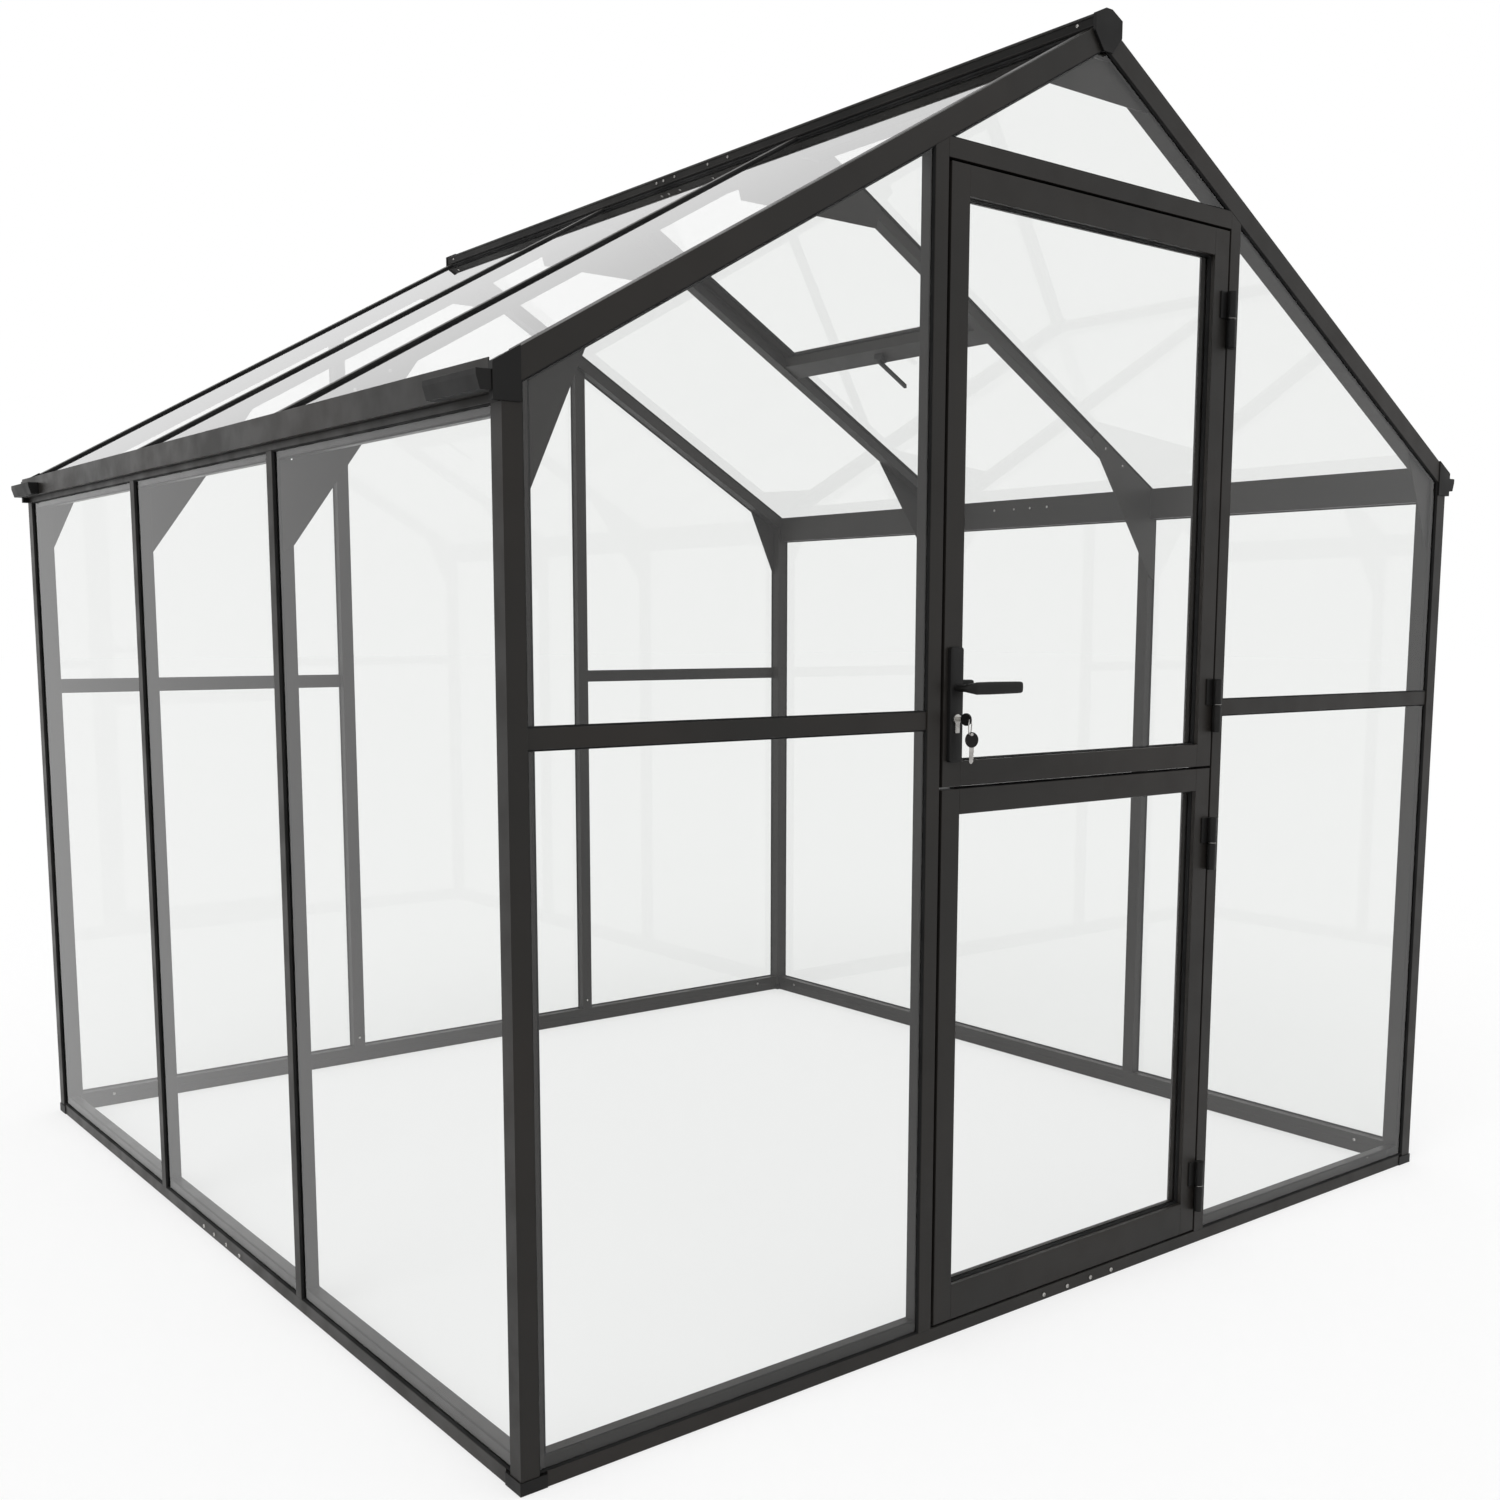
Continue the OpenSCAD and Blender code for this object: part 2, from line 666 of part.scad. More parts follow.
module vent_sill() {
  half = side_post_y - body_w / 2;
  x1 = vent_reach + 6;
  color(frame_col) slope_slab([x1 - vent_sill_w, x1], [glass_in, vent_sill_p], [-half, half]);
}

module vent_outer(p) { slope_slab([ridge_cap_r + vent_gap, vent_reach], p, [-vent_half, vent_half]); }

module vent_frame() {
  inner = vent_half - vent_bar_w;
  color(frame_col) difference() {
    vent_outer([-vent_proud, glass_out - 2 * seat_gap]);
    slope_slab([ridge_cap_r + vent_gap + vent_bar_w, vent_reach - vent_bar_w], [-far, far], [-inner, inner]);
    slope_slab([ridge_cap_r + vent_gap + vent_bar_w - groove_d, vent_reach - vent_bar_w + groove_d],
               [0, glass_t], [-inner - groove_d, inner + groove_d]);
  }
}

module vent_pane() {
  half = vent_half - vent_bar_w + groove_d - 1;
  color(glass_col) slope_slab(
    [ridge_cap_r + vent_gap + vent_bar_w - groove_d + 1, vent_reach - vent_bar_w + groove_d - 1],
    [seat_gap, glass_t - seat_gap], [-half, half]);
}

module vent_handle() {
  x = vent_reach - vent_sill_w / 2 + 6;
  top = vent_sill_p + seat_gap;
  color(plastic_col) union() {
    slope_slab([x - 9, x + 9], [top, top + 11], [-14, 14]);
    slope_slab([x - 5, x + vent_handle_l], [top + 10, top + 18], [-5, 5]);
  }
}

// ---- door ----

// Right stile of a leaf, its grooved edge towards -X
module stile(x, z, side) {
  color(frame_col) on_front() difference() {
    block([x, x + stile_w], [0, leaf_t], z);
    block(side > 0 ? [x - 1, x + groove_d] : [x + stile_w - groove_d, x + stile_w + 1],
          [leaf_t / 2 - glass_t / 2, leaf_t / 2 + glass_t / 2], [z[0] - 1, z[1] + 1]);
  }
}

module rail(z, groove_up) {
  mid = leaf_t / 2;
  x = [leaf_lock_x + stile_w, leaf_hinge_x - stile_w];
  gz = groove_up ? [z[1] - groove_d, z[1] + 1] : [z[0] - 1, z[0] + groove_d];
  color(frame_col) on_front() difference() {
    block(x, [0, leaf_t], z);
    block([x[0] - 1, x[1] + 1], [mid - glass_t / 2, mid + glass_t / 2], gz);
  }
}

module leaf_pane(z) {
  mid = leaf_t / 2;
  seat = groove_d - 1;
  color(glass_col) on_front()
    block([leaf_lock_x + stile_w - seat, leaf_hinge_x - stile_w + seat],
          [mid - glass_t / 2, mid + glass_t / 2], [z[0] - seat, z[1] + seat]);
}

module upper_leaf_stiles() {
  z = upper_leaf_z;
  stile(leaf_hinge_x - stile_w, z, 1);
  difference() {
    stile(leaf_lock_x, z, -1);
    on_front() {
      spindle_hole(leaf_t);
      translate([0, -1, 0]) cylinder_form(leaf_t + 2, 0.3);
    }
  }
}
module upper_leaf_rails() {
  rail([upper_leaf_z[0], upper_leaf_z[0] + meet_rail_h], true);
  rail([upper_leaf_z[1] - top_rail_h, upper_leaf_z[1]], false);
}
module upper_leaf_pane() {
  leaf_pane([upper_leaf_z[0] + meet_rail_h, upper_leaf_z[1] - top_rail_h]);
}
module lower_leaf_stiles() {
  stile(leaf_hinge_x - stile_w, lower_leaf_z, 1);
  stile(leaf_lock_x, lower_leaf_z, -1);
}
module lower_leaf_rails() {
  rail([lower_leaf_z[0], lower_leaf_z[0] + bottom_rail_h], true);
  rail([lower_leaf_z[1] - meet_rail_h, lower_leaf_z[1]], false);
}
module lower_leaf_pane() {
  leaf_pane([lower_leaf_z[0] + bottom_rail_h, lower_leaf_z[1] - meet_rail_h]);
}

// ---- hinges ----

knuckle_l = hinge_l / 2 - 2;

module frame_hinge_halves() {
  color(plastic_col) for (z = hinge_zs) union() {
    translate([hinge_x, hinge_y, z - hinge_l / 2]) cylinder(r = barrel_r, h = knuckle_l);
    translate([hinge_x, hinge_y, z - hinge_l / 2]) cylinder(r = pin_r, h = hinge_l - 12);
    translate([hinge_x, hinge_y, z - hinge_l / 2]) cylinder(r = barrel_r - 1.5, h = knuckle_l + 3);
    translate([dw, -hl - flap_t, z - hinge_l / 2]) cube([flap_w, flap_t, knuckle_l]);
  }
}

module leaf_hinge_half(z) {
  bore = pin_r + pin_clear;
  color(plastic_col) difference() {
    union() {
      translate([hinge_x, hinge_y, z + 2]) cylinder(r = barrel_r, h = knuckle_l);
      translate([leaf_hinge_x - flap_w, -hl - flap_t, z + 2]) cube([flap_w, flap_t, knuckle_l]);
    }
    translate([hinge_x, hinge_y, z]) cylinder(r = bore, h = knuckle_l - 4);
  }
}

module lower_leaf_hinge_halves() {
  leaf_hinge_half(hinge_zs[0]);
  leaf_hinge_half(hinge_zs[1]);
}
module upper_leaf_hinge_halves() {
  leaf_hinge_half(hinge_zs[2]);
  leaf_hinge_half(hinge_zs[3]);
}

// ---- lock ----

module spindle_hole(depth) {
  translate([lock_x, depth + 20, lever_z]) rotate([90, 0, 0]) cylinder(r = neck_r + 0.5, h = depth + 40);
}

// The cylinder's outline pushed through a depth, grown by a clearance
module cylinder_form(depth, grow) {
  z = lever_z - cylinder_drop;
  translate([lock_x, depth, z]) rotate([90, 0, 0]) cylinder(r = cylinder_r + grow, h = depth);
  translate([lock_x - cylinder_w / 2 - grow, 0, z - cylinder_h + cylinder_r - grow])
    cube([cylinder_w + 2 * grow, depth, cylinder_h - cylinder_r + grow]);
}

module lock_plate(d0) {
  z0 = lever_z + lock_plate_up - lock_plate_h;
  difference() {
    block([lock_x - lock_plate_w / 2, lock_x + lock_plate_w / 2], [d0, d0 + lock_plate_t],
          [z0, z0 + lock_plate_h]);
    spindle_hole(leaf_t);
    translate([0, d0 - 1, 0]) cylinder_form(lock_plate_t + 2, 0.3);
  }
}

module lock_plates() {
  color(plastic_col) on_front() {
    lock_plate(-lock_plate_t);
    lock_plate(leaf_t);
  }
}

module lock_cylinder() {
  out = lock_plate_t + cylinder_out;
  color(steel_col) on_front() translate([0, -out, 0]) cylinder_form(leaf_t + 2 * out, 0);
}

// One lever: a neck from the middle of the leaf out through a plate, and a grip with round ends
module lever_half() {
  neck = lock_plate_t + lever_out + lever_t;
  translate([lock_x, leaf_t / 2, lever_z]) rotate([90, 0, 0])
    cylinder(r = neck_r, h = leaf_t / 2 + neck);
  translate([lock_x, -neck + lever_t, lever_z]) rotate([90, 0, 0]) cylinder(r = lever_h / 2, h = lever_t);
  translate([lock_x + lever_l - lever_h / 2, -neck + lever_t, lever_z]) rotate([90, 0, 0])
    cylinder(r = lever_h / 2, h = lever_t);
  translate([lock_x, -neck, lever_z - lever_h / 2]) cube([lever_l - lever_h / 2, lever_t, lever_h]);
}

module door_lever() {
  color(plastic_col) on_front() union() {
    lever_half();
    translate([0, leaf_t, 0]) mirror([0, 1, 0]) lever_half();
  }
}

base_front();
base_back();
base_left();
base_right();
base_corner_caps();
corner_posts();
side_posts();
door_jambs();
back_gable_posts();
door_header();
mid_rails();
eave_beams();
gutters();
eave_corner_caps();
gutter_end_blocks();
gable_rafters_left();
gable_rafters_right();
inner_rafters();
ridge_beam();
ridge_cap();
ridge_end_caps();
gable_plates();
inner_plates();
side_panes();
front_panes();
back_panes();
left_roof_panes();
right_roof_panes();
vent_sill();
vent_frame();
vent_pane();
vent_handle();
upper_leaf_stiles();
upper_leaf_rails();
upper_leaf_pane();
lower_leaf_stiles();
lower_leaf_rails();
lower_leaf_pane();
frame_hinge_halves();
upper_leaf_hinge_halves();
lower_leaf_hinge_halves();
lock_plates();
lock_cylinder();
door_lever();
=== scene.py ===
"""Looks of a glass greenhouse: powder-coated bars, clear panes, seals, screws, lock and keys."""

import json
import math

import bmesh
import bpy
from mathutils import Matrix, Vector


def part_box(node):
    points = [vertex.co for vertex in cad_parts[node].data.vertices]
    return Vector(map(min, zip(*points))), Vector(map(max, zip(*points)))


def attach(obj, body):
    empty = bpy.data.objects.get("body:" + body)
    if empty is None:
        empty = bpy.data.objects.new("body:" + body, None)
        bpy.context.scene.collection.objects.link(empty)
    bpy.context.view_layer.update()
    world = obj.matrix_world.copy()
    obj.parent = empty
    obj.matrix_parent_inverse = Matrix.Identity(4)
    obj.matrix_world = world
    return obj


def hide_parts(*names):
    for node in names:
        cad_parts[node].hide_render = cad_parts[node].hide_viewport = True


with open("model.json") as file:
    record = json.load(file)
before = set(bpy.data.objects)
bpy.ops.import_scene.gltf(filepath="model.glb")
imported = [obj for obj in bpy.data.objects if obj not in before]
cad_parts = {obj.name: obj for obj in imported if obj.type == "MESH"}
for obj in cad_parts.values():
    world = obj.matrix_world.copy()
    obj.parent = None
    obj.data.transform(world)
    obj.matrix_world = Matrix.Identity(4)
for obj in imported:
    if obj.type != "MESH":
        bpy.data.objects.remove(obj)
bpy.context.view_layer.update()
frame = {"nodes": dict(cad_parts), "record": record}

MM = 0.001
SCENE = bpy.context.scene
NODES = frame["nodes"]
X, Y, Z = Vector((1, 0, 0)), Vector((0, 1, 0)), Vector((0, 0, 1))
SIDES = (-1, 1)

# Materials -----------------------------------------------------------------------------------

CHARCOAL = (0.017, 0.016, 0.0145)
CHARCOAL_WARM = (0.024, 0.021, 0.0185)
BLACK_PLASTIC = (0.007, 0.007, 0.007)
BLACK_PLASTIC_WORN = (0.011, 0.0105, 0.010)
RUBBER = (0.004, 0.004, 0.004)
RUBBER_DUSTY = (0.008, 0.008, 0.008)
STEEL = (0.50, 0.49, 0.47)
STEEL_DARK = (0.30, 0.29, 0.28)
NOISE_LOW, NOISE_HIGH = 0.35, 0.65  # most of a noise lies between these
ROUGHNESS_PATCHES = 14  # to the metre
BUMP_STRENGTH = 0.6

GLASS_TINT = (0.962, 0.965, 0.962)
GLASS_MIRROR = (0.97, 0.97, 0.97)
GLASS_ROUGHNESS = 0.02
GLASS_IOR = 1.5


def new_material(name):
    """An empty node material: the material, its tree and its output."""
    mat = bpy.data.materials.new(name)
    mat.use_nodes = True
    tree = mat.node_tree
    tree.nodes.clear()
    return mat, tree, tree.nodes.new("ShaderNodeOutputMaterial")


def principled(tree, out):
    """A Principled shader, linked to an output."""
    shader = tree.nodes.new("ShaderNodeBsdfPrincipled")
    tree.links.new(shader.outputs["BSDF"], out.inputs["Surface"])
    return shader


def noise(tree, scale, detail=3.0):
    """Noise in object coordinates, with that many grains to the metre."""
    coord = tree.nodes.new("ShaderNodeTexCoord")
    node = tree.nodes.new("ShaderNodeTexNoise")
    node.inputs["Scale"].default_value = scale
    node.inputs["Detail"].default_value = detail
    tree.links.new(coord.outputs["Object"], node.inputs["Vector"])
    return node.outputs["Fac"]


def spread(tree, fac, low, high):
    """Maps the middle of a noise onto low to high."""
    node = tree.nodes.new("ShaderNodeMapRange")
    node.inputs["From Min"].default_value = NOISE_LOW
    node.inputs["From Max"].default_value = NOISE_HIGH
    node.inputs["To Min"].default_value = low
    node.inputs["To Max"].default_value = high
    tree.links.new(fac, node.inputs["Value"])
    return node.outputs["Result"]


def two_tone(tree, fac, first, second):
    """A colour that drifts between two tones."""
    node = tree.nodes.new("ShaderNodeMix")
    node.data_type = "RGBA"
    node.inputs["A"].default_value = (*first, 1)
    node.inputs["B"].default_value = (*second, 1)
    tree.links.new(spread(tree, fac, 0.0, 1.0), node.inputs["Factor"])
    return node.outputs["Result"]


def math_node(tree, operation, first, second):
    """The result of a sum on two sockets or numbers."""
    node = tree.nodes.new("ShaderNodeMath")
    node.operation = operation
    for socket, value in zip(node.inputs, (first, second)):
        if isinstance(value, float):
            socket.default_value = value
        else:
            tree.links.new(value, socket)
    return node.outputs["Value"]


def finish_material(name, first, second, rough, grain, bump_mm, metallic=0.0, cloud=2.5,
                    specular=0.5):
    """A surface in two close tones, with uneven roughness and a fine grain.

    rough is its least and most roughness. cloud and grain are in lumps to the metre.
    """
    mat, tree, out = new_material(name)
    shader = principled(tree, out)
    shader.inputs["Metallic"].default_value = metallic
    shader.inputs["Specular IOR Level"].default_value = specular
    colour = two_tone(tree, noise(tree, cloud), first, second)
    tree.links.new(colour, shader.inputs["Base Color"])
    roughness = spread(tree, noise(tree, ROUGHNESS_PATCHES), *rough)
    tree.links.new(roughness, shader.inputs["Roughness"])
    bump = tree.nodes.new("ShaderNodeBump")
    bump.inputs["Strength"].default_value = BUMP_STRENGTH
    bump.inputs["Distance"].default_value = bump_mm * MM
    tree.links.new(noise(tree, grain, detail=1.0), bump.inputs["Height"])
    tree.links.new(bump.outputs["Normal"], shader.inputs["Normal"])
    return mat


def glass_material():
    """Clear flat glass. Light passes straight on, and front faces mirror more at a low angle."""
    mat, tree, out = new_material("clear_glass")
    clear = tree.nodes.new("ShaderNodeBsdfTransparent")
    clear.inputs["Color"].default_value = (*GLASS_TINT, 1)
    shine = tree.nodes.new("ShaderNodeBsdfGlossy")
    shine.inputs["Color"].default_value = (*GLASS_MIRROR, 1)
    shine.inputs["Roughness"].default_value = GLASS_ROUGHNESS
    fresnel = tree.nodes.new("ShaderNodeFresnel")
    fresnel.inputs["IOR"].default_value = GLASS_IOR
    facing = tree.nodes.new("ShaderNodeNewGeometry")
    front = math_node(tree, "SUBTRACT", 1.0, facing.outputs["Backfacing"])
    mix = tree.nodes.new("ShaderNodeMixShader")
    tree.links.new(math_node(tree, "MULTIPLY", fresnel.outputs["Fac"], front), mix.inputs["Fac"])
    tree.links.new(clear.outputs["BSDF"], mix.inputs[1])
    tree.links.new(shine.outputs["BSDF"], mix.inputs[2])
    tree.links.new(mix.outputs["Shader"], out.inputs["Surface"])
    return mat


paint = finish_material("charcoal_powder_coat", CHARCOAL, CHARCOAL_WARM, (0.34, 0.48), 900, 0.04,
                        specular=0.22)
plastic = finish_material("black_plastic", BLACK_PLASTIC, BLACK_PLASTIC_WORN, (0.40, 0.55), 1400,
                          0.03, specular=0.18)
anodised = finish_material("black_anodised", BLACK_PLASTIC, CHARCOAL, (0.34, 0.48), 900, 0.03,
                           specular=0.10)
rubber = finish_material("seal_rubber", RUBBER, RUBBER_DUSTY, (0.6, 0.8), 1800, 0.03,
                         specular=0.2)
steel = finish_material("satin_steel", STEEL, STEEL_DARK, (0.20, 0.34), 2600, 0.02, metallic=1.0,
                        cloud=60)
glass = glass_material()
BY_SLOT = {"frame_paint": paint, "plastic": plastic, "glass": glass, "lock_metal": steel}
SLOT_OF = {s["node"]: s["material_slot"] for s in frame["record"]["subparts"]}

# Bars: the CAD shapes with small rounded edges -----------------------------------------------

EDGE_MM = 0.7
WELD_MM = 0.01
FLAT = math.radians(1)
EDGE_ANGLE = math.radians(25)


def soften(node):
    """Rounds a CAD node's edges, once its triangles are joined back into flat faces."""
    join = node.modifiers.new("join", "WELD")
    join.merge_threshold = WELD_MM * MM
    flat = node.modifiers.new("flat", "DECIMATE")
    flat.decimate_type = "DISSOLVE"
    flat.angle_limit = FLAT
    edge = node.modifiers.new("edge", "BEVEL")
    edge.width = EDGE_MM * MM
    edge.segments = 2
    edge.limit_method = "ANGLE"
    edge.angle_limit = EDGE_ANGLE
    edge.use_clamp_overlap = True


for name, node in NODES.items():
    node.data.materials.clear()
    node.data.materials.append(anodised if name == "ridge_cap" else BY_SLOT[SLOT_OF[name]])
    if SLOT_OF[name] != "glass":
        soften(node)

# Mesh helpers --------------------------------------------------------------------------------

JOIN_MM = 0.005
SHARP = math.radians(35)


def finish_piece(bm, name, body, mat, smooth=False, replaces=()):
    """Turns a mesh under construction into a piece of the object."""
    bmesh.ops.remove_doubles(bm, verts=bm.verts, dist=JOIN_MM * MM)
    bmesh.ops.recalc_face_normals(bm, faces=bm.faces)
    mesh = bpy.data.meshes.new(name)
    bm.to_mesh(mesh)
    bm.free()
    mesh.materials.append(mat)
    piece = bpy.data.objects.new(name, mesh)
    SCENE.collection.objects.link(piece)
    if smooth:
        for face in mesh.polygons:
            face.use_smooth = True
        mesh.set_sharp_from_angle(angle=SHARP)
    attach(piece, body)
    if replaces:
        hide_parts(*replaces)


def add_rings(bm, rings):
    """Skins rings of points, one after the next, and caps both ends."""
    made = [[bm.verts.new(p) for p in ring] for ring in rings]
    count = len(made[0])
    for a, b in zip(made, made[1:]):
        for i in range(count):
            j = (i + 1) % count
            bm.faces.new((a[i], a[j], b[j], b[i]))
    bm.faces.new(list(reversed(made[0])))
    bm.faces.new(made[-1])


def add_lathe(bm, place, profile, segments):
    """Spins a profile of (radius, height) in mm round the Z of a place."""
    rings = []
    for radius, height in profile:
        turns = (2 * math.pi * i / segments for i in range(segments))
        rings.append([place @ (Vector((radius * math.cos(t), radius * math.sin(t), height)) * MM)
                      for t in turns])
    add_rings(bm, rings)


def facing_place(centre, out):
    """A frame of reference at a centre whose Z looks along out."""
    return Matrix.Translation(centre) @ out.to_track_quat("Z", "Y").to_matrix().to_4x4()


# Seals ---------------------------------------------------------------------------------------

# At each kind of pane edge, in mm: what the bar covers of the pane outside and inside, and how
# far the bar stands out
COVERS = {
    "foot": (3, 23, 5), "eave": (6, 19, 5), "corner": (21, 34, 5), "post": (7, 11, 5),
    "jamb": (5, 5, 5), "head": (3, 3, 5), "head_side": (-2, -2, 5), "rail": (10, 10, 2),
    "rafter": (29, 32, 5), "roof_end": (21, 34, 5), "ridge": (18.5, 6.9, 5),
    "gutter": (0, 34.6, 0), "vent_sill": (15, 0, 5), "vent": (8, 7, 8), "leaf": (7, 7, 9),
}
INNER_BEAD = 3.6  # mm at most, so that inner beads stay under the corner plates
# A bead's section: mm across, and height as a share of the bar's
SEAL = [(0.0, 0.80), (1.3, 0.76), (2.8, 0.30), (3.0, 0.0)]

HALF_W, HALF_L = 1.22, 1.22  # half the width and length over the frame
CORNER_BAND = 0.05  # a pane edge this near a corner lies at the corner
ROOF_BAND = 0.1  # the same for the gutters and the ridge
FOOT_Z = 0.5  # a level edge below this is the foot
JAMB_X = 0.381  # pane edges over the door lie inside this, and those beside it outside
LEVEL = 0.1  # a direction with less than this of an axis runs square to it
FACING = 0.99  # a face with more than this of a direction looks along it
RAIL_BAND = 0.01  # a level edge this near the mid-rails lies at them
mid_rail_low, mid_rail_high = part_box("mid_rails")


def pane_faces(node, out):
    """The corners of each pane's face that looks along out, in order round it."""
    bm = bmesh.new()
    bm.from_mesh(NODES[node].data)
    bmesh.ops.remove_doubles(bm, verts=bm.verts, dist=WELD_MM * MM)
    bmesh.ops.dissolve_limit(bm, angle_limit=FLAT, verts=bm.verts, edges=bm.edges)
    found = [[v.co.copy() for v in face.verts] for face in bm.faces
             if face.normal.dot(out) > FACING]
    bm.free()
    return found


def wall_edge(mid, along):
    """Which kind of edge a side pane has there."""
    if abs(along.z) < LEVEL:
        return "foot" if mid.z < FOOT_Z else "eave"
    return "corner" if abs(mid.y) > HALF_L - CORNER_BAND else "post"


def gable_edge(mid, along):
    """Which kind of edge a gable pane has there."""
    if abs(along.z) > LEVEL and abs(along.x) > LEVEL:
        return "rafter"
    if abs(along.z) < LEVEL:
        if mid.z < FOOT_Z:
            return "foot"
        at_rail = mid_rail_low.z - RAIL_BAND < mid.z < mid_rail_high.z + RAIL_BAND
        return "rail" if at_rail else "head"
    if abs(mid.x) > HALF_W - CORNER_BAND:
        return "corner"
    if mid.y > 0:
        return "post"
    return "head_side" if abs(mid.x) < JAMB_X else "jamb"


def roof_edge(mid, along):
    """Which kind of edge a roof pane has there."""
    if abs(along.y) < LEVEL:
        return "roof_end" if abs(mid.y) > HALF_L - CORNER_BAND else "post"
    if abs(mid.x) > HALF_W - ROOF_BAND:
        return "gutter"
    return "ridge" if abs(mid.x) < ROOF_BAND else "vent_sill"


def add_seal(bm, corners, out, kinds, inside):
    """Lays a bead along every bar at a pane's face, mitred at the corners."""
    count = len(corners)
    along = [(corners[(i + 1) % count] - corners[i]).normalized() for i in range(count)]
    inward = [out.cross(d) for d in along]
    cover = [COVERS[kind][1 if inside else 0] for kind in kinds]
    tall = [min(COVERS[kind][2], INNER_BEAD) if inside else COVERS[kind][2] for kind in kinds]

    def corner_at(i, extra):
        """The corner before edge i, moved in by what the bars and the bead cover."""
        h = (i - 1) % count
        c = inward[h].dot(inward[i])
        d0, d1 = cover[h] + extra, cover[i] + extra
        k = 1.0 / (1.0 - c * c)
        return corners[i] + (inward[h] * (d0 - d1 * c) + inward[i] * (d1 - d0 * c)) * (k * MM)

    for i in range(count):
        if tall[i] == 0:
            continue
        rows = []
        for across, share in SEAL:
            lift = out * (share * tall[i] * MM)
            rows.append([bm.verts.new(corner_at(end, across) + lift)
                         for end in (i, (i + 1) % count)])
        for (a, b), (c, d) in zip(rows, rows[1:]):
            bm.faces.new((a, b, d, c))


def seal_piece(name, body, node, out, edge_kind, both=True):
    """The seals of all the panes in a node that lie on out's side, outside and inside."""
    bm = bmesh.new()
    for look, inside in ((out, False), (-out, True)) if both else ((out, False),):
        for corners in pane_faces(node, look):
            if corners[0].dot(out) < 0:
                continue
            ends = zip(corners, corners[1:] + corners[:1])
            kinds = [edge_kind((a + b) / 2, (b - a).normalized()) for a, b in ends]
            add_seal(bm, corners, look, kinds, inside)
    finish_piece(bm, name, body, rubber)


SLOPE = math.radians(30)
left_slope = Vector((-math.sin(SLOPE), 0, math.cos(SLOPE)))
right_slope = Vector((math.sin(SLOPE), 0, math.cos(SLOPE)))

for name, node, out, edge_kind in (
        ("front_seals", "front_panes", -Y, gable_edge),
        ("back_seals", "back_panes", Y, gable_edge),
        ("left_wall_seals", "side_panes", -X, wall_edge),
        ("right_wall_seals", "side_panes", X, wall_edge),
        ("left_roof_seals", "left_roof_panes", left_slope, roof_edge),
        ("right_roof_seals", "right_roof_panes", right_slope, roof_edge)):
    seal_piece(name, "frame", node, out, edge_kind)
seal_piece("vent_seal", "frame", "vent_pane", right_slope, lambda mid, along: "vent", both=False)
for leaf in ("upper_leaf", "lower_leaf"):
    seal_piece(leaf + "_seal", leaf, leaf + "_pane", -Y, lambda mid, along: "leaf")

# The lower leaf's top edge carries a rubber strip, just clear of the upper leaf
STRIP = [(-9, -0.3), (-9, 0.9), (-7, 1.5), (7, 1.5), (9, 0.9), (9, -0.3)]  # mm across and up
low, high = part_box("lower_leaf_rails")
bm = bmesh.new()
add_rings(bm, [[Vector((x, (low.y + high.y) / 2, high.z)) + (Y * across + Z * up) * MM
                for across, up in STRIP] for x in (low.x + 1 * MM, high.x - 1 * MM)])
finish_piece(bm, "meeting_strip", "lower_leaf", rubber)

# Screws --------------------------------------------------------------------------------------

# Radius and height in mm, and a small screw's share of them
SCREW_HEAD = [(4.2, -0.6), (4.2, 0.8), (3.7, 1.7), (2.6, 2.3), (1.7, 2.4), (1.5, 0.9)]
SMALL = 0.8
# Where the screws sit, in mm
BASE_SCREW_Z = 10
FRONT_BASE_X = (-81, -14, 54, 116)
LEFT_BASE_Y = (-78, -4, 67, 128)
CORNER_IN, CORNER_Z = 92, 30
POST_X, POST_Z = 393, 72
RIDGE_Y = (-1182, -148, -71, 62, 108, 137, 1182)
RIDGE_Z = 12  # over the ridge cap's lower edge
EAVE_Y = (170, 92, 30, -35)
PLATE_XZ = ((995, 1740), (1064, 1700))
EAVE_DOWN = 0.35  # share of the eave beam's inner face, down from its top


def screws(name, places, size=1.0):
    """Pan-head screws at (centre, outward direction) places of the frame."""
    bm = bmesh.new()
    head = [(r * size, h * size) for r, h in SCREW_HEAD]
    for centre, out in places:
        add_lathe(bm, facing_place(Vector(centre), out), head, 16)
    finish_piece(bm, name, "frame", steel, smooth=True)


front_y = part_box("base_front")[0].y
left_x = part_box("base_left")[0].x
screws("base_screws", [((x * MM, front_y, BASE_SCREW_Z * MM), -Y) for x in FRONT_BASE_X]
       + [((left_x, y * MM, BASE_SCREW_Z * MM), -X) for y in LEFT_BASE_Y])

inner_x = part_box("base_right")[0].x
inner_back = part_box("base_back")[0].y
inner_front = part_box("base_front")[1].y
corner = CORNER_IN * MM
on_sides = [((side * inner_x, y, CORNER_Z * MM), X * -side) for side in SIDES
            for y in (inner_back - corner, inner_front + corner)]
on_ends = [((side * (inner_x - corner), y, CORNER_Z * MM), look) for side in SIDES
           for y, look in ((inner_back, -Y), (inner_front, Y))]
screws("inner_corner_screws", on_sides + on_ends)

post_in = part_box("back_gable_posts")[0].y
screws("post_foot_screws", [((side * POST_X * MM, post_in, POST_Z * MM), -Y) for side in SIDES],
       SMALL)

ridge_low, ridge_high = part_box("ridge_cap")
screws("ridge_screws", [((x, y * MM, ridge_low.z + RIDGE_Z * MM), look)
                        for x, look in ((ridge_low.x, -X), (ridge_high.x, X)) for y in RIDGE_Y],
       SMALL)

